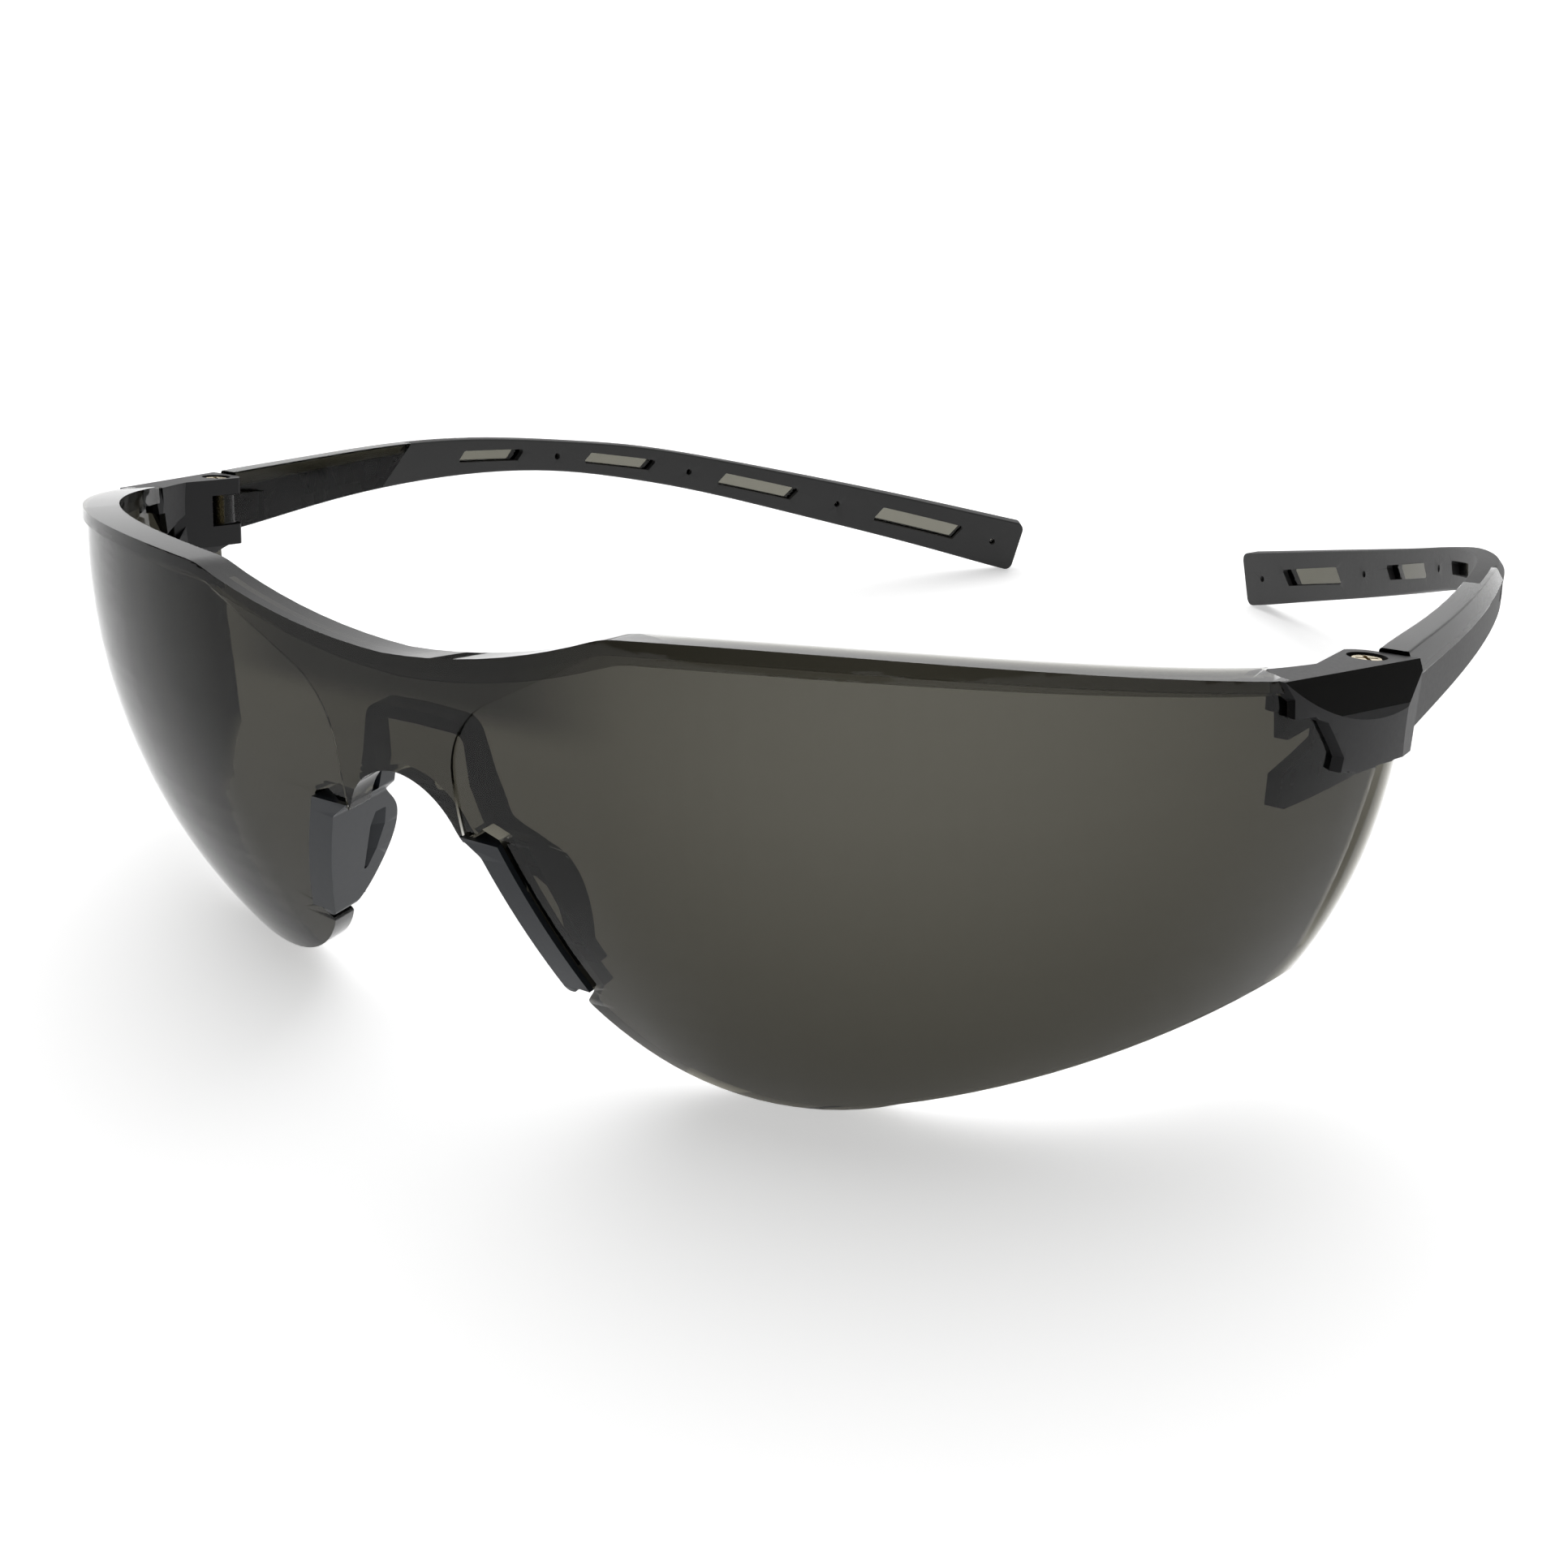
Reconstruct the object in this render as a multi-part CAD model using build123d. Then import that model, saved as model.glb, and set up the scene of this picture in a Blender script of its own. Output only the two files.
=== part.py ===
from build123d import *

# Wrap-around safety glasses, open, standing on the lens bottoms and the temple tips.
# The left half is drawn in the wearing frame (x to the wearer's left, y to the back, z up,
# y = 0 at the hinge screws), mirrored, and set down on the table at the end. Lengths in mm.
import os
from math import cos, degrees, radians, sin, sqrt

# Lens shell: a straight strip across the nose and a round lobe on each side.
LOBE_X = 19.0        # vertical axis of the left lobe
LOBE_Y = 11.2
LOBE_R = 51.4        # front surface's radius in plan, at the belt
BELT_R = 59.0        # front surface's radius in the vertical section
BELT_Z = 31.3        # height of the belt, where the shell bulges most
WRAP = 94.0          # degrees that a lobe turns through
SHELL_LOW = -6.0
SHELL_HIGH = 52.0
LENS_T = 2.2

# The top edge and the hinge lean back by the same angle; heights marked "leaning" are
# measured square to that plane.
TILT = 9.8
BROW_MID = 32.45     # leaning height of the top edge over the nose
BROW_CORNER = (21.7, 36.85)
BROW_SIDE = (40.0, 37.75)
BROW_END = (63.4, 36.56)
LEDGE_DROP = 1.15    # height of the ledge along the top edge
LEDGE_FRONT = 0.45
LIP_DROP = 2.2       # height of the thicker rim behind the top edge
LIP_BACK = 2.9

# Lens outline in the front view.
LENS_LOW = (31.0, 1.5)
POST_TIP = (6.6, 24.2)
NOTCH_TOP = (8.6, 26.2)
NOSE_TOP = (10.3, 25.6)
NOSE_LOW = (16.1, 11.9)
HOOK = (14.7, 10.1)
ARCH_TOP = 29.65
STEP_X = 6.4         # half width of the raised bridge between the two eye areas
STEP_RISE = 0.25     # how far the bridge stands proud of the eye areas
GROOVE_DEPTH = 0.5   # groove ahead of the wing's rear rim

# Nose piece.
LIP_PROUD = 0.5      # how far the lips stand ahead of the lens
LIP_GAP = 0.1
FLANGE_T = 1.2       # flange behind the lens
FLANGE_OVERLAP = 1.3
FLANGE_LOW = 14.5    # height of the flange's lower end

# Hinge, measured from the screw in the leaning frame.
HINGE_X = 66.1
HINGE_Z = 33.6
EAR_TOP = 3.45
EAR_BOTTOM = -4.15
EAR_BACK = 2.6
EAR_OUT = 3.4
EAR_IN = -2.2
EAR_FRONT = -8.0
SLOT_TOP = 1.65
SLOT_BOTTOM = -1.85
SLOT_FRONT = -2.5
SLOT_WALL = 2.2
KNUCKLE_R = 2.0
KNUCKLE_GAP = 0.12
ARM_IN = -1.2
ARM_OUT = 1.9
SCREW_R = 0.8
SCREW_END = -3.3
SCREW_PLAY = 0.05
SCREW_HEAD_R = 1.45
SCREW_HEAD_H = 0.9
SCREW_SUNK = 0.15
HEAD_GAP = 0.15

# End piece.
COVER = 0.85         # thickness outside the lens
CLAW = 0.9           # thickness inside the lens
COVER_LIMIT = 69.9
ROOF_T = 1.45        # thickness of the roof that lies on the stepped end of the lens
FACET_AT = (1.0, -5.3)   # sloping facet along the upper outer edge: its middle from the screw
FACET_TURN = 17.3
FACET_LEAN = 20.0

# Temple: its middle line runs straight, bends gently, bends hard, and runs straight again.
TEMPLE_X = 67.9
TEMPLE_Y = 3.35
TEMPLE_Z = 33.5
SPLAY = 0.9          # degrees outwards at the hinge
TEMPLE_GAP = 0.35    # between the hinge ears and the temple
STRAIGHT = 12.0
GENTLE_R = 165.0
GENTLE = 13.0
HARD_R = 102.0
HARD = 42.0
TEMPLE_L = 133.4
KNOTS = (0.0, 22.0, 52.0, 82.0, TEMPLE_L)
THICKNESS = (3.2, 2.9, 2.8, 2.7, 2.6)
HEIGHT = (6.5, 5.3, 4.2, 5.2, 7.8)
SLOPE = (3.8, 4.6, 12.8, 19.4, 17.0)
FACET_DROP = (2.0, 1.7, 0.8, 0.6, 0.6)
FACET_IN = (0.9, 0.9, 0.6, 0.5, 0.5)
EDGE_R = 0.25
TIP_R = 1.2
CORE_T = 1.2
CORE_MARGIN = 1.1    # sleeve above and below the core strip
CORE_START = 10.0
CORE_END = 130.6
SKIN_T = 0.9         # sleeve over the outside of the core's front part
FACET_END = 40.0     # where the core's glossy facet goes under the sleeve
WINDOWS = ((37.5, 47.9), (59.6, 70.9), (83.0, 95.6), (110.0, 123.4))
WINDOW_SHARE = 0.34  # window height as a share of the temple's height
WINDOW_LEAN = 0.6    # how far a window's top is shifted towards the tip, each way
PIN_HOLES = (54.3, 77.3, 102.9, 129.2)
PIN_HOLE_R = 0.45

# The tips and the lenses touch the table this far apart.
STANCE = 145.0


def shell_radius(offset, z):
    """Distance from a lobe's vertical axis to the front surface moved out by offset."""
    return LOBE_R - BELT_R + sqrt((BELT_R + offset) ** 2 - (z - BELT_Z) ** 2)


def shell(outer, inner):
    """Solid between two offsets of the lens's front surface."""
    front = ThreePointArc((shell_radius(outer, SHELL_LOW), SHELL_LOW), (LOBE_R + outer, BELT_Z),
                          (shell_radius(outer, SHELL_HIGH), SHELL_HIGH))
    back = ThreePointArc((shell_radius(inner, SHELL_HIGH), SHELL_HIGH), (LOBE_R + inner, BELT_Z),
                         (shell_radius(inner, SHELL_LOW), SHELL_LOW))
    ring = make_face([front, Line(front @ 1, back @ 0), back, Line(back @ 1, front @ 0)])
    section = Plane((LOBE_X, LOBE_Y, 0), x_dir=(0, -1, 0), z_dir=(-1, 0, 0)) * ring
    middle = extrude(section, amount=2 * LOBE_X)
    lobe = revolve(section, Axis((LOBE_X, LOBE_Y, 0), (0, 0, 1)), revolution_arc=WRAP)
    return middle + lobe + mirror(lobe, Plane.YZ)


def front_prism(half):
    """A half outline drawn in the front view (x, z), mirrored and made deep along y."""
    solid = extrude(Plane.XZ * half, amount=90, both=True)
    return solid + mirror(solid, Plane.YZ)


def leaning_prism(half):
    """The same, with the heights measured square to the leaning top edge."""
    return Rot(X=-TILT) * front_prism(half)


def side_prism(outline):
    """An outline drawn in the side view (y, z), made deep across the left half."""
    return extrude(Plane.YZ * outline, amount=90)


def rounded(face, radius, *corners):
    """The face with the named corners rounded."""
    chosen = [face.vertices().sort_by_distance((*corner, 0))[0] for corner in corners]
    return fillet(chosen, radius)


def block(x0, x1, y0, y1, z0, z1):
    """Box between two corners."""
    return Pos((x0 + x1) / 2, (y0 + y1) / 2, (z0 + z1) / 2) * Box(x1 - x0, y1 - y0, z1 - z0)


def upright(radius, z0, z1):
    """Cylinder on the hinge axis."""
    return Pos(0, 0, (z0 + z1) / 2) * Cylinder(radius, z1 - z0)


def both_sides(solid):
    """A left-hand solid together with its mirror image."""
    return solid + mirror(solid, Plane.YZ)


def lens_outline():
    """Left half of the lens below the brow, seen from the front."""
    face = make_face([
        Line((0, 60), (76, 60)),
        Line((76, 60), (76, 15.9)),
        ThreePointArc((76, 15.9), (57.8, 8.8), (39.6, 3.2)),
        ThreePointArc((39.6, 3.2), (35.6, 1.95), LENS_LOW),
        ThreePointArc(LENS_LOW, (20.8, 4.3), HOOK),
        Line(HOOK, NOSE_LOW),
        Line(NOSE_LOW, NOSE_TOP),
        Line(NOSE_TOP, NOTCH_TOP),
        Line(NOTCH_TOP, POST_TIP),
        Line(POST_TIP, (5.9, 25.4)),
        ThreePointArc((5.9, 25.4), (4.1, 28.0), (0, ARCH_TOP)),
        Line((0, ARCH_TOP), (0, 60)),
    ])
    return rounded(face, 0.5, HOOK, NOSE_LOW, NOSE_TOP, POST_TIP)


def brow_line(drop, end_drop):
    """Edges of the brow, from the middle outwards, lowered by drop."""
    corner = (BROW_CORNER[0], BROW_CORNER[1] - drop)
    side = (BROW_SIDE[0], BROW_SIDE[1] - drop)
    end = (BROW_END[0] + 0.01 * end_drop, BROW_END[1] - end_drop)
    return [
        ThreePointArc((0, BROW_MID - drop), (11, BROW_MID + 1.27 - drop), corner),
        ThreePointArc(corner, side, end),
    ]


def below_brow():
    """Left half of everything under the top edge."""
    face = make_face([
        *brow_line(0, 0),
        Line(BROW_END, (80, BROW_END[1])),
        Line((80, BROW_END[1]), (80, -40)),
        Line((80, -40), (0, -40)),
        Line((0, -40), (0, BROW_MID)),
    ])
    return rounded(face, 8.0, BROW_CORNER)


def brow_band(drop):
    """Left half of the strip along the top edge, this deep."""
    end = (BROW_END[0] + 0.01 * drop * 0.8, BROW_END[1] - drop * 0.8)
    face = make_face([
        *brow_line(drop, drop * 0.8),
        Line(end, (80, end[1])),
        Line((80, end[1]), (80, 60)),
        Line((80, 60), (0, 60)),
        Line((0, 60), (0, BROW_MID - drop)),
    ])
    return rounded(face, 8.0, (BROW_CORNER[0], BROW_CORNER[1] - drop))


def roof_area():
    """The upright block that the left end piece's roof fills, seen from above."""
    plan = Polygon((72, -17.0), (61.6, -11.5), (62.6, -6.5), (63.6, -1.5), (64.4, 2.5), (66, 6), (80, 6),
                   (80, -17), align=None)
    return extrude(plan, amount=60, both=True)


def bridge_area():
    """Left half of the raised area between the eyes, in the front view."""
    turn = (STEP_X, 35.2)
    top = (22.6, 43.6)
    face = make_face([
        Line((0, 15), (STEP_X + 0.4, 15)),
        Line((STEP_X + 0.4, 15), (STEP_X, 28)),
        Line((STEP_X, 28), turn),
        Line(turn, top),
        Line(top, (22.6, 60)),
        Line((22.6, 60), (0, 60)),
        Line((0, 60), (0, 15)),
    ])
    return rounded(face, 8.0, turn)


def wing_side():
    """Side view of the lens ahead of its rear edge."""
    rear = Spline((-14, 5.0), (-10.1, 7.2), (-5.2, 11.0), (-3.0, 15.4), (-1.3, 21.1), (0.4, 29.9))
    return make_face([
        rear,
        Line(rear @ 1, (-3.6, 30.9)),
        Line((-3.6, 30.9), (-3.6, 60)),
        Line((-3.6, 60), (-60, 60)),
        Line((-60, 60), (-60, -10)),
        Line((-60, -10), (-14, -10)),
        Line((-14, -10), rear @ 0),
    ])


def wing_groove():
    """Side view of the groove along the wing's rear rim."""
    front = ThreePointArc((-5.8, 13.6), (-4.8, 19.9), (-2.6, 29.4))
    back = ThreePointArc((-1.5, 29.4), (-3.7, 19.9), (-5.1, 13.6))
    return make_face([front, Line(front @ 1, back @ 0), back, Line(back @ 1, front @ 0)])


def lens_shield():
    """Smoke lens: one moulding with both eye areas, the bridge, the brow ledge and the wings."""
    trim = front_prism(lens_outline()) & leaning_prism(below_brow())
    trim &= both_sides(side_prism(wing_side()))
    seat = roof_area() & hinge_place() * block(-30, 30, -40, 20, EAR_TOP - ROOF_T, 30)
    sheet = shell(0, -LENS_T)
    step = shell(STEP_RISE, -0.6) & front_prism(bridge_area())
    ledge = shell(LEDGE_FRONT, -0.6) & leaning_prism(brow_band(LEDGE_DROP))
    lip = shell(-LENS_T + 0.6, -LIP_BACK) & leaning_prism(brow_band(LIP_DROP))
    brow = (ledge + lip) - both_sides(roof_area())
    groove = shell(2, -GROOVE_DEPTH) & both_sides(side_prism(wing_groove()))
    return ((sheet + step + brow) & trim) - both_sides(seat) - groove


def nose_outline():
    """Left half of the saddle and pad, seen from the front."""
    low_inner = (13.4, 11.3)
    low_outer = (15.0, 11.3)
    arch = (5.3, 33.7)
    arch_inner = (5.0, 32.6)
    face = make_face([
        Line((0, 33.9), arch),
        Line(arch, (6.5, 29.1)),
        Line((6.5, 29.1), (7.8, 25.4)),
        Line((7.8, 25.4), (9.8, 23.9)),
        Line((9.8, 23.9), low_outer),
        Line(low_outer, low_inner),
        Line(low_inner, (8.3, 23.7)),
        Line((8.3, 23.7), (6.3, 25.2)),
        Line((6.3, 25.2), (5.2, 28.2)),
        Line((5.2, 28.2), arch_inner),
        Line(arch_inner, (0, 32.7)),
        Line((0, 32.7), (0, 33.9)),
    ])
    face = rounded(face, 0.7, low_inner, low_outer)
    face = rounded(face, 1.9, arch)
    return rounded(face, 1.0, arch_inner, (7.8, 25.4), (9.8, 23.9), (8.3, 23.7), (6.3, 25.2))


def nose_side():
    """Side view of the saddle and pads, from the front of the lip to the free rear edge."""
    rear = Spline((-34.6, 26.6), (-33.9, 23.8), (-31.9, 21.2), (-31.4, 18.3), (-32.5, 14.5),
                  (-34.4, 11.7), (-37.0, 10.7))
    return make_face([
        rear,
        Line(rear @ 1, (-43, 10.7)),
        Line((-43, 10.7), (-43, 25.2)),
        Line((-43, 25.2), (-36.5, 25.2)),
        Line((-36.5, 25.2), (-36.5, 36)),
        Line((-36.5, 36), (-34.6, 36)),
        Line((-34.6, 36), rear @ 0),
    ])


def pad_slot():
    """Slanting cut for the long slot through the left pad."""
    face = Polygon((-37.6, 22.4), (-36.1, 21.5), (-35.0, 19.6), (-34.4, 17.1), (-34.4, 14.4),
                   (-35.9, 17.5), (-37.2, 20.2), align=None)
    middle = Plane.YZ.offset(12.0) * fillet(face.vertices(), 0.25)
    return extrude(middle, amount=4, dir=(1, -1, 0), both=True)


def edge_strip(inward, outward):
    """Left half of the strip that follows the pad's edge of the lens."""
    low = NOSE_LOW
    top = (NOSE_TOP[0] + 0.2, NOSE_TOP[1] - 0.4)
    return make_face([
        Line((low[0] + outward, low[1]), (top[0] + outward, top[1])),
        Line((top[0] + outward, top[1]), (top[0] - inward, top[1])),
        Line((top[0] - inward, top[1]), (low[0] - inward, low[1])),
        Line((low[0] - inward, low[1]), (low[0] + outward, low[1])),
    ])


def nose_piece(lens):
    """Soft nose piece: a saddle behind the bridge, two pads, and lips that grip the lens."""
    pads = front_prism(nose_outline()) & both_sides(side_prism(nose_side()))
    lip = shell(LIP_PROUD, -LENS_T - FLANGE_T) & front_prism(edge_strip(2.6, -LIP_GAP))
    flange = shell(-LENS_T, -LENS_T - FLANGE_T) & front_prism(edge_strip(2.6, FLANGE_OVERLAP))
    flange &= block(-30, 30, -60, 0, FLANGE_LOW, 40)
    soft = (pads & shell(LIP_PROUD, -16)) + lip + flange
    soft -= both_sides(pad_slot())
    return soft - lens


def hinge_place():
    """Frame at the left hinge: z along the screw, y towards the temple."""
    return Pos(HINGE_X, 0, HINGE_Z) * Rot(X=-TILT)


def facet_cutter():
    """Block that cuts the sloping facet along the end piece's upper outer edge."""
    place = Pos(*FACET_AT, EAR_TOP) * Rot(Z=-FACET_TURN) * Rot(Y=-FACET_LEAN)
    return hinge_place() * place * block(0, 12, -30, 30, -8, 8)


def end_piece(lens):
    """Left end piece: a cover outside the lens, two claws inside it, and the hinge ears."""
    cover_side = Polygon((-14.2, 40.0), (-13.2, 38.0), (-11.1, 35.9), (-10.2, 35.4), (-7.6, 30.6),
                         (-6.6, 30.2), (-3.0, 30.0), (4.0, 28.8), (4.0, 42), (-14.2, 42), align=None)
    claw_side = Polygon((-10.5, 42), (-10.5, 33.7), (-4.2, 35.0), (-3.9, 32.9), (-6.4, 33.3),
                        (-10.9, 30.9), (-10.9, 28.3), (-10.3, 28.0), (-3.0, 28.6), (4.0, 29.0),
                        (4.0, 42), align=None)
    roof_side = Polygon((-17, 37.0), (-3.0, 35.0), (4.0, 34.0), (4.0, 44), (-17, 44), align=None)
    cover = shell(COVER, 0) & side_prism(cover_side)
    claws = shell(-LENS_T, -LENS_T - CLAW) & side_prism(claw_side)
    roof = shell(COVER, -LENS_T - CLAW) & side_prism(roof_side) & roof_area()
    ears = block(EAR_IN, EAR_OUT, EAR_FRONT, 0, EAR_BOTTOM, EAR_TOP)
    ears += block(0, EAR_OUT, -1, EAR_BACK, EAR_BOTTOM, EAR_TOP)
    ears += upright(EAR_BACK, EAR_BOTTOM, EAR_TOP) & block(EAR_IN, 5, -5, 5, EAR_BOTTOM, EAR_TOP)
    slot = block(-10, SLOT_WALL, SLOT_FRONT, 10, SLOT_BOTTOM, SLOT_TOP)
    behind = block(-10, 10, EAR_BACK, 20, -20, 20)
    body = cover + claws + roof + (hinge_place() * ears & shell(COVER, -12))
    body &= block(50, COVER_LIMIT, -30, 20, 0, 60)
    body &= hinge_place() * block(-30, 30, -40, 20, -30, EAR_TOP)
    body = body - facet_cutter() - hinge_place() * (slot + behind) - lens
    head = upright(SCREW_HEAD_R + HEAD_GAP, EAR_TOP - SCREW_SUNK - SCREW_HEAD_H, EAR_TOP + 5)
    shaft = upright(SCREW_R, SCREW_END - 0.3, EAR_TOP)
    return body - hinge_place() * (head + shaft)


def hinge_screw():
    """Cross-head screw through the ears of the left hinge."""
    top = EAR_TOP - SCREW_SUNK
    screw = upright(SCREW_HEAD_R, top - SCREW_HEAD_H, top)
    screw = chamfer(screw.edges().sort_by(Axis.Z)[-1], 0.3)
    screw += upright(SCREW_R, SCREW_END, top - 0.2)
    for turn in (30, 120):
        screw -= Rot(Z=turn) * block(-0.9, 0.9, -0.17, 0.17, top - 0.4, top + 1)
    return hinge_place() * screw


def law(values, s):
    """Value at s of a law given at the temple's knots."""
    for k in range(len(KNOTS) - 1):
        if s <= KNOTS[k + 1]:
            share = (s - KNOTS[k]) / (KNOTS[k + 1] - KNOTS[k])
            return values[k] + share * (values[k + 1] - values[k])
    return values[-1]


def station(s):
    """Plane across the temple at s along its middle line: x outward, y up."""
    gentle_l = GENTLE_R * radians(GENTLE)
    hard_l = HARD_R * radians(HARD)
    steps = 200
    x, y, z = TEMPLE_X, TEMPLE_Y, TEMPLE_Z
    heading = -radians(SPLAY)
    for i in range(steps):
        at = s * (i + 0.5) / steps
        in_gentle = min(max(at - STRAIGHT, 0), gentle_l)
        in_hard = min(max(at - STRAIGHT - gentle_l, 0), hard_l)
        heading = in_gentle / GENTLE_R + in_hard / HARD_R - radians(SPLAY)
        fall = radians(law(SLOPE, at))
        x -= sin(heading) * cos(fall) * s / steps
        y += cos(heading) * cos(fall) * s / steps
        z -= sin(fall) * s / steps
    fall = radians(law(SLOPE, s))
    return Plane((x, y, z), x_dir=(cos(heading), sin(heading), 0),
                 z_dir=(sin(heading) * cos(fall), -cos(heading) * cos(fall), sin(fall)))


def along_temple(section, marks):
    """Solid lofted through a section drawn at each mark along the temple."""
    return loft([station(s) * section(s) for s in marks])


def temple_section(s):
    """Full section of the temple: a rounded bar with its upper outer edge cut to a facet."""
    right = law(THICKNESS, s) / 2
    top = law(HEIGHT, s) / 2
    drop = law(FACET_DROP, s)
    inset = law(FACET_IN, s)
    outline = Polygon((-right, -top), (right, -top), (right, top - drop), (right - inset, top),
                      (-right, top), align=None)
    return fillet(outline.vertices(), EDGE_R)


def core_section(s):
    """Section of the core strip inside the sleeve."""
    return Rectangle(CORE_T, law(HEIGHT, s) - 2 * CORE_MARGIN)


def skin_section(s):
    """Section of the sleeve's skin over the core's front part."""
    right = law(THICKNESS, s) / 2
    top = law(HEIGHT, s) / 2 - law(FACET_DROP, s)
    low = -law(HEIGHT, s) / 2 - 1
    return Pos(right - SKIN_T + 2, (top + low) / 2) * Rectangle(4, top - low)


def facet_section(s):
    """Section of the core's glossy facet above the sleeve's skin."""
    left = law(THICKNESS, s) / 2 - law(FACET_IN, s) - 0.5
    low = law(HEIGHT, s) / 2 - law(FACET_DROP, s)
    return Pos(left + 2, low + 2) * Rectangle(4, 4)


def through_hole(s, sketch):
    """Hole of this outline through the temple at s, square to its sides."""
    plane = station(s)
    side = Plane(plane.origin, x_dir=-plane.z_dir, z_dir=plane.x_dir)
    return extrude(side * sketch, amount=5, both=True)


def temple():
    """Left temple: the hard core with its knuckle, and the soft sleeve over it."""
    body = along_temple(temple_section, (-2, 8, 22, 37, 52, 67, 82, 95, 108, 121, TEMPLE_L))
    body -= hinge_place() * block(-10, 10, -10, EAR_BACK + TEMPLE_GAP, -20, 20)
    tip = station(TEMPLE_L)
    for end in (1, -1):
        corner = tip * Pos(0, end * law(HEIGHT, TEMPLE_L) / 2, 0)
        square = corner * Pos(0, end * (1 - TIP_R) / 2, (TIP_R - 1) / 2) * Box(9, TIP_R + 1, TIP_R + 1)
        arc = corner * Pos(0, -end * TIP_R, TIP_R) * Rot(Y=90) * Cylinder(TIP_R, 10)
        body -= square - arc
    front_side = Polygon((-5, 20), (14.5, 20), (47.2, 45), (-5, 45), align=None)
    front = (body & side_prism(front_side)) - along_temple(skin_section, (-3, 8, 22, 37, 52))
    facet = body & along_temple(facet_section, (-2, 8, 22, 31, FACET_END))
    strip = along_temple(core_section, (CORE_START, 22, 37, 52, 67, 82, 95, 108, 121, CORE_END))
    knuckle = upright(KNUCKLE_R, SLOT_BOTTOM + KNUCKLE_GAP, SLOT_TOP - KNUCKLE_GAP)
    knuckle += block(ARM_IN, ARM_OUT, 0, 6, SLOT_BOTTOM + KNUCKLE_GAP, SLOT_TOP - KNUCKLE_GAP)
    knuckle -= upright(SCREW_R + SCREW_PLAY, -5, 5)
    core = front + facet + strip + hinge_place() * knuckle
    sleeve = body - core
    for start, end in WINDOWS:
        middle = (start + end) / 2
        height = WINDOW_SHARE * law(HEIGHT, middle)
        half = (end - start) / 2
        window = Polygon((-half - WINDOW_LEAN, -height / 2), (half - WINDOW_LEAN, -height / 2),
                         (half + WINDOW_LEAN, height / 2), (-half + WINDOW_LEAN, height / 2), align=None)
        sleeve -= through_hole(middle, fillet(window.vertices(), 0.3))
    for s in PIN_HOLES:
        sleeve -= through_hole(s, Circle(PIN_HOLE_R))
    return core, sleeve


def settle(lens, sleeve):
    """Placement that sets the lens and the tips on z = 0, centred over the origin."""
    lean = 0.0
    for _ in range(4):
        lens_box = (Rot(X=lean) * lens).bounding_box()
        tip_box = (Rot(X=lean) * sleeve).bounding_box()
        lean += degrees((lens_box.min.Z - tip_box.min.Z) / STANCE)
    lens_box = (Rot(X=lean) * lens).bounding_box()
    tip_box = (Rot(X=lean) * sleeve).bounding_box()
    middle = (lens_box.min.Y + tip_box.max.Y) / 2
    low = min(lens_box.min.Z, tip_box.min.Z)
    return Pos(0, -middle, -low) * Rot(X=lean)


def main():
    """Build every node and write it out."""
    os.makedirs("parts", exist_ok=True)
    lens = lens_shield()
    core, sleeve = temple()
    left_hand = {
        "end_piece": end_piece(lens),
        "hinge_screw": hinge_screw(),
        "temple_core": core,
        "temple_sleeve": sleeve,
    }
    nodes = {"lens_shield": lens, "nose_piece": nose_piece(lens)}
    for name, solid in left_hand.items():
        nodes[name + "_left"] = solid
        nodes[name + "_right"] = mirror(solid, Plane.YZ)
    place = settle(lens, sleeve)
    for name, solid in nodes.items():
        done = place * solid
        print(name, round(done.volume, 1), len(done.solids()), done.is_valid)
        export_step(done, "parts/" + name + ".step")
    screw = place * hinge_place()
    print("left hinge", screw.position, screw.orientation)
    print("settled by", place.position, place.orientation)


if __name__ == "__main__":
    main()
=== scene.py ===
from math import cos, radians, sin

import bpy
from mathutils import Matrix, Vector

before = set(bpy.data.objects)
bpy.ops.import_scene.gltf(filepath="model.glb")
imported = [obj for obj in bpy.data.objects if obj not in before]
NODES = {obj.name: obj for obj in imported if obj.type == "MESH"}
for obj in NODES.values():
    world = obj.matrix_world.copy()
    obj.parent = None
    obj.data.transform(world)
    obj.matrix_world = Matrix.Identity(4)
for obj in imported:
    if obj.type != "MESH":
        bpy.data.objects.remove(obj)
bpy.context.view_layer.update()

# Camera.
CAMERA_AT = (0.09991, -0.173303, 0.084574)
CAMERA_AZIMUTH = 33.33
CAMERA_ELEVATION = 23.755
CAMERA_ROLL = -1.937
FOCAL_MM = 40.99
SENSOR_MM = 36
CLIP = (0.01, 100)

# The hinges' leaning frame.
LEAN = radians(8.965)
HINGE_Y = -0.0386604
HINGE_Z = 0.0325413
HINGE_UP = (0, sin(LEAN), cos(LEAN))

# The end pieces' polished facet: above this height over the hinge, along HINGE_UP, and where
# the normal's part along HINGE_UP is within this distance of this value.
FACET_FLOOR = 0.0004
FACET_SLOPE = 0.5
FACET_SLOPE_RANGE = 0.3
FACET_ROUGHNESS = 0.14
# Painted reflection: the facet's near-black colour stands in for the dark surroundings it
# mirrors.
FACET_PAINTED_REFLECTION_COLOUR = (0.004, 0.004, 0.0035)

# Smoke plastic. Its refractive index is set low, so that its reflections stay faint.
SMOKE_IOR = 1.27
SMOKE_CLEAR = (0.97, 0.97, 0.96)
SMOKE_CLOUDED = (0.92, 0.92, 0.91)

# Where painted shade darkens the lens: sideways from the middle, and upwards to the bridge's
# top.
BRIDGE_FADE = (0.024, 0.010)
BRIDGE_RISE = (0.0325, 0.0352)
BRIDGE_PAINTED_SHADE_COLOUR = (0.30, 0.30, 0.31)

MOULDED_SPECULAR = 0.22

TABLE_SIZE = 30
TABLE_DROP = 0.00005   # keeps the table just under the pieces that stand on it
TABLE_GLOW = 0.5       # light table: keeps the shadows pale

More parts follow.
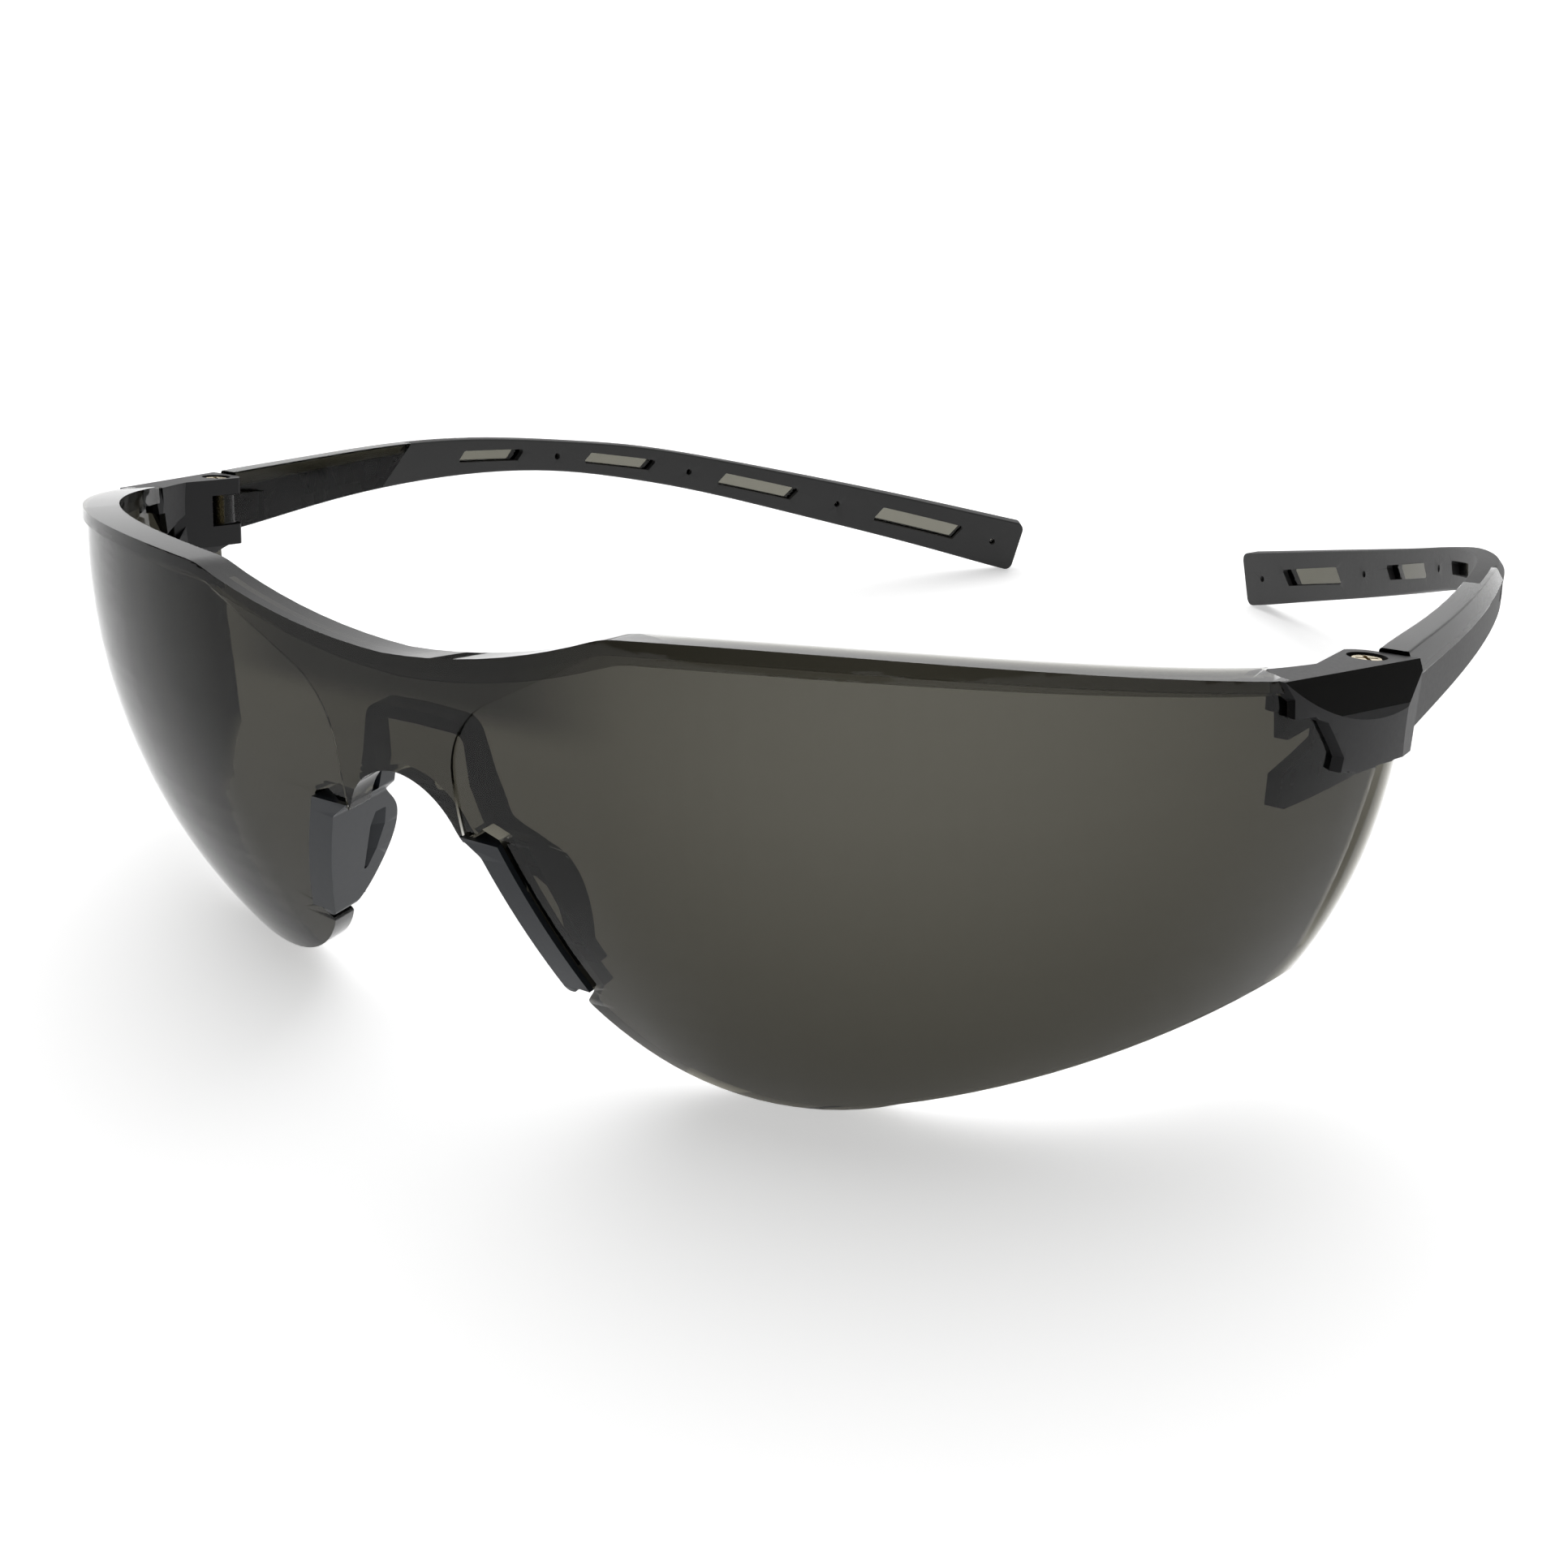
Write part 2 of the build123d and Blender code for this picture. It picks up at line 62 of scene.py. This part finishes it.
# The surroundings' brightness, from straight behind the glasses round to the camera's side.
STUDIO_FACING = (-0.88, -0.25)
STUDIO_BRIGHTNESS = (1.15, 0.12)

# Rounding of each kind of piece's edges.
ROUNDING = {
    "lens_shield": 0.00022,
    "nose_piece": 0.00042,
    "end_piece": 0.0003,
    "hinge_screw": 0.00006,
    "temple_core": 0.0003,
    "temple_sleeve": 0.0004,
}
ROUNDING_SEGMENTS = 3
SHARP_ANGLE = radians(28)
WELD_DISTANCE = 0.000002


def kind_of(name):
    """A node's name without its side."""
    return name.removesuffix("_left").removesuffix("_right")


def tree(name):
    """New material, a helper that adds nodes to it, its shader and its links."""
    material = bpy.data.materials.new(name)
    material.use_nodes = True
    nodes = material.node_tree.nodes
    links = material.node_tree.links

    def add(kind, inputs=None, **settings):
        """Adds a node; an input that is a socket is linked, and any other is set."""
        node = nodes.new(kind)
        for key, value in settings.items():
            setattr(node, key, value)
        for key, value in (inputs or {}).items():
            if isinstance(value, bpy.types.NodeSocket):
                links.new(value, node.inputs[key])
            else:
                node.inputs[key].default_value = value
        return node

    return material, add, nodes["Principled BSDF"], links


def own_place(add):
    """Place in the piece's own coordinates."""
    return add("ShaderNodeTexCoord").outputs["Object"]


def grain(add, scale, detail=3.0, roughness=0.55):
    """Noise in the piece's own coordinates."""
    noise = add("ShaderNodeTexNoise", {"Vector": own_place(add), "Scale": scale,
                                       "Detail": detail, "Roughness": roughness})
    return noise.outputs["Fac"]


def between(add, value, low, high):
    """A 0 to 1 value spread from low to high."""
    spread = add("ShaderNodeMapRange", {"Value": value, "To Min": low, "To Max": high})
    return spread.outputs["Result"]


def smooth_step(add, value, start, end):
    """0 to 1 as the value goes from start to end."""
    return add("ShaderNodeMapRange", {"Value": value, "From Min": start, "From Max": end},
               interpolation_type="SMOOTHSTEP").outputs["Result"]


def bumped(add, height, strength, distance):
    """Normal shaped by a height, at this depth."""
    return add("ShaderNodeBump", {"Height": height, "Strength": strength,
                                  "Distance": distance}).outputs["Normal"]


def combined(add, operation, first, second):
    """Result of a maths operation on two values."""
    return add("ShaderNodeMath", {0: first, 1: second}, operation=operation).outputs[0]


def rise(add, direction):
    """How much of a direction points along the hinges' axis."""
    return add("ShaderNodeVectorMath", {0: direction, 1: HINGE_UP},
               operation="DOT_PRODUCT").outputs["Value"]


def mix_node(add, factor, data_type, kind):
    """Mix node for this type of data, with its two inputs and its output."""
    node = add("ShaderNodeMix", {"Factor": factor}, data_type=data_type)
    first, second = [s for s in node.inputs if s.type == kind and s.name in ("A", "B")]
    output = [s for s in node.outputs if s.type == kind][0]
    return first, second, output


def mixed(add, factor, first, second):
    """Colour between two colours."""
    low, high, output = mix_node(add, factor, "RGBA", "RGBA")
    low.default_value = (*first, 1)
    high.default_value = (*second, 1)
    return output


def recoloured(add, links, shader, factor, colour):
    """Turns the shader's colour to this one as the factor goes to 1."""
    low, high, output = mix_node(add, factor, "RGBA", "RGBA")
    links.new(shader.inputs["Base Color"].links[0].from_socket, low)
    high.default_value = (*colour, 1)
    links.new(output, shader.inputs["Base Color"])


def resurfaced(add, links, shader, factor, roughness):
    """Turns the shader's roughness to this one as the factor goes to 1."""
    low, high, output = mix_node(add, factor, "FLOAT", "VALUE")
    links.new(shader.inputs["Roughness"].links[0].from_socket, low)
    high.default_value = roughness
    links.new(output, shader.inputs["Roughness"])


def smoke_plastic(name, tint, density, roughness):
    """Clear plastic tinted through its thickness, with faint flow and fine surface marks."""
    material, add, shader, links = tree(name)
    flow = grain(add, 35.0, 2.0)
    marks = grain(add, 900.0, 4.0)
    links.new(mixed(add, flow, SMOKE_CLEAR, SMOKE_CLOUDED), shader.inputs["Base Color"])
    links.new(between(add, marks, roughness * 0.7, roughness * 1.4), shader.inputs["Roughness"])
    links.new(bumped(add, flow, 0.05, 0.00002), shader.inputs["Normal"])
    shader.inputs["IOR"].default_value = SMOKE_IOR
    shader.inputs["Transmission Weight"].default_value = 1.0
    inside = add("ShaderNodeVolumeAbsorption", {"Color": (*tint, 1), "Density": density})
    output = material.node_tree.nodes["Material Output"]
    links.new(inside.outputs["Volume"], output.inputs["Volume"])
    return material, add, shader, links


def lens_plastic():
    """The lens's smoke plastic, with painted shade darkening it along the top of the bridge."""
    material, add, shader, links = smoke_plastic(
        "lens_smoke", tint=(0.20, 0.185, 0.12), density=1380.0, roughness=0.03)
    parts = add("ShaderNodeSeparateXYZ", {"Vector": own_place(add)})
    aside = add("ShaderNodeMath", {0: parts.outputs["X"]}, operation="ABSOLUTE").outputs[0]
    central = smooth_step(add, aside, *BRIDGE_FADE)
    high = smooth_step(add, parts.outputs["Z"], *BRIDGE_RISE)
    bridge = combined(add, "MULTIPLY", central, high)
    # Painted shade: the lens's colour is darkened along the top of the bridge.
    recoloured(add, links, shader, bridge, BRIDGE_PAINTED_SHADE_COLOUR)
    return material


def core_plastic():
    """The temple cores' smoke plastic."""
    return smoke_plastic(
        "core_smoke", tint=(0.30, 0.29, 0.22), density=1950.0, roughness=0.08)[0]


def moulded_plastic(name, light, dark, roughness, spread, pitch, depth):
    """Moulded opaque plastic or rubber with a fine spark-eroded grain."""
    material, add, shader, links = tree(name)
    cloud = grain(add, 60.0, 3.0)
    pores = grain(add, pitch, 3.0, 0.6)
    surface = between(add, pores, roughness - spread, roughness + spread)
    links.new(mixed(add, cloud, light, dark), shader.inputs["Base Color"])
    links.new(surface, shader.inputs["Roughness"])
    links.new(bumped(add, pores, 0.35, depth), shader.inputs["Normal"])
    shader.inputs["Specular IOR Level"].default_value = MOULDED_SPECULAR
    return material, add, shader, links


def nose_rubber():
    """Smooth dark rubber."""
    material, _, shader, _ = moulded_plastic(
        "nose_rubber", light=(0.019, 0.022, 0.027), dark=(0.013, 0.016, 0.020),
        roughness=0.34, spread=0.06, pitch=1800.0, depth=0.0000015)
    shader.inputs["Coat Weight"].default_value = 0.1
    shader.inputs["Coat Roughness"].default_value = 0.2
    return material


def sleeve_rubber():
    """Matt soft-touch rubber."""
    material, _, shader, _ = moulded_plastic(
        "sleeve_rubber", light=(0.050, 0.050, 0.050), dark=(0.040, 0.040, 0.040),
        roughness=0.6, spread=0.08, pitch=2200.0, depth=0.000016)
    shader.inputs["Sheen Weight"].default_value = 0.08
    shader.inputs["Sheen Roughness"].default_value = 0.5
    return material


def end_piece_plastic():
    """Satin plastic, polished along the sloping facet of the upper outer edge, where a painted
    dark reflection turns it near black.
    """
    material, add, shader, links = moulded_plastic(
        "end_piece_plastic", light=(0.009, 0.009, 0.010), dark=(0.006, 0.006, 0.007),
        roughness=0.42, spread=0.05, pitch=2600.0, depth=0.00001)
    floor = HINGE_Y * sin(LEAN) + HINGE_Z * cos(LEAN) + FACET_FLOOR
    above = combined(add, "GREATER_THAN", rise(add, own_place(add)), floor)
    facing = add("ShaderNodeNewGeometry").outputs["True Normal"]
    sloping = add("ShaderNodeMath", {0: rise(add, facing), 1: FACET_SLOPE,
                                     2: FACET_SLOPE_RANGE}, operation="COMPARE").outputs[0]
    facet = combined(add, "MULTIPLY", above, sloping)
    resurfaced(add, links, shader, facet, FACET_ROUGHNESS)
    # Painted reflection: the facet is coloured near black for the dark surroundings it mirrors.
    recoloured(add, links, shader, facet, FACET_PAINTED_REFLECTION_COLOUR)
    return material


def screw_metal():
    """Turned metal with a fine grain and slight staining."""
    material, add, shader, links = tree("screw_metal")
    stain = grain(add, 700.0, 3.0)
    fine = grain(add, 5000.0, 2.0)
    brass = mixed(add, stain, (0.80, 0.70, 0.48), (0.62, 0.52, 0.34))
    links.new(brass, shader.inputs["Base Color"])
    links.new(between(add, fine, 0.16, 0.34), shader.inputs["Roughness"])
    links.new(bumped(add, fine, 0.2, 0.000005), shader.inputs["Normal"])
    shader.inputs["Metallic"].default_value = 1.0
    return material


def soften(obj, width):
    """Joins the node's split faces and rounds its sharp edges."""
    weld = obj.modifiers.new("weld", "WELD")
    weld.merge_threshold = WELD_DISTANCE
    bevel = obj.modifiers.new("bevel", "BEVEL")
    bevel.width = width
    bevel.segments = ROUNDING_SEGMENTS
    bevel.limit_method = "ANGLE"
    bevel.angle_limit = SHARP_ANGLE
    bevel.harden_normals = True
    normals = obj.modifiers.new("normals", "WEIGHTED_NORMAL")
    normals.keep_sharp = True


def dress():
    """Gives every node its material and its rounded edges."""
    finishes = {
        "lens_shield": lens_plastic(),
        "nose_piece": nose_rubber(),
        "end_piece": end_piece_plastic(),
        "hinge_screw": screw_metal(),
        "temple_core": core_plastic(),
        "temple_sleeve": sleeve_rubber(),
    }
    for name, obj in NODES.items():
        kind = kind_of(name)
        obj.data.materials.clear()
        obj.data.materials.append(finishes[kind])
        soften(obj, ROUNDING[kind])


def table_top():
    """White table that runs past the frame on every side."""
    bpy.ops.mesh.primitive_plane_add(size=TABLE_SIZE, location=(0, 0, -TABLE_DROP))
    floor = bpy.context.object
    floor.name = "table_top"
    material, add, shader, links = tree("table_white")
    cloud = grain(add, 0.8, 3.0)
    white = mixed(add, cloud, (0.90, 0.90, 0.90), (0.88, 0.88, 0.88))
    links.new(white, shader.inputs["Base Color"])
    shader.inputs["Emission Color"].default_value = (1, 1, 1, 1)
    shader.inputs["Emission Strength"].default_value = TABLE_GLOW
    shader.inputs["Roughness"].default_value = 0.85
    shader.inputs["Specular IOR Level"].default_value = 0.15
    floor.data.materials.append(material)


def studio():
    """Surroundings that light the glasses from behind and are dark on the camera's side.

    The camera itself sees them white everywhere.
    """
    world = bpy.data.worlds.new("studio")
    bpy.context.scene.world = world
    world.use_nodes = True
    nodes, links = world.node_tree.nodes, world.node_tree.links
    where = nodes.new("ShaderNodeTexCoord")
    facing = nodes.new("ShaderNodeVectorMath")
    facing.operation = "DOT_PRODUCT"
    azimuth = radians(CAMERA_AZIMUTH)
    facing.inputs[1].default_value = (sin(azimuth), -cos(azimuth), 0)
    ramp = nodes.new("ShaderNodeMapRange")
    ramp.interpolation_type = "SMOOTHSTEP"
    ramp.inputs["From Min"].default_value, ramp.inputs["From Max"].default_value = STUDIO_FACING
    ramp.inputs["To Min"].default_value, ramp.inputs["To Max"].default_value = STUDIO_BRIGHTNESS
    seen = nodes.new("ShaderNodeLightPath")
    strength = nodes.new("ShaderNodeMath")
    strength.operation = "MAXIMUM"
    links.new(where.outputs["Generated"], facing.inputs[0])
    links.new(facing.outputs["Value"], ramp.inputs["Value"])
    links.new(ramp.outputs["Result"], strength.inputs[0])
    links.new(seen.outputs["Is Camera Ray"], strength.inputs[1])
    links.new(strength.outputs[0], nodes["Background"].inputs["Strength"])
    nodes["Background"].inputs["Color"].default_value = (1, 1, 1, 1)


def sky_light(name, towards, spread, energy):
    """Broad even light from one side of the sky; it makes no highlights of its own."""
    data = bpy.data.lights.new(name, "SUN")
    data.angle = radians(spread)
    data.energy = energy
    light = bpy.data.objects.new(name, data)
    light.rotation_mode = "QUATERNION"
    light.rotation_quaternion = Vector(towards).to_track_quat("Z", "Y")
    light.visible_glossy = False
    bpy.context.scene.collection.objects.link(light)


def camera():
    """Camera above and to the wearer's left of the lens."""
    data = bpy.data.cameras.new("camera")
    data.lens = FOCAL_MM
    data.sensor_width = SENSOR_MM
    data.clip_start, data.clip_end = CLIP
    azimuth = radians(CAMERA_AZIMUTH)
    elevation = radians(CAMERA_ELEVATION)
    roll = radians(CAMERA_ROLL)
    back = Vector((sin(azimuth) * cos(elevation), -cos(azimuth) * cos(elevation),
                   sin(elevation)))
    level = Vector((cos(azimuth), sin(azimuth), 0))
    right = cos(roll) * level + sin(roll) * back.cross(level)
    up = back.cross(right)
    turn = Matrix((right, up, back)).transposed().to_4x4()
    obj = bpy.data.objects.new("camera", data)
    obj.matrix_world = Matrix.Translation(CAMERA_AT) @ turn
    bpy.context.scene.collection.objects.link(obj)
    bpy.context.scene.camera = obj


dress()
table_top()
studio()
sky_light("overhead", towards=(-0.35, 0.45, 1.0), spread=75.0, energy=1.9)
camera()
bpy.context.scene.view_settings.view_transform = "Standard"
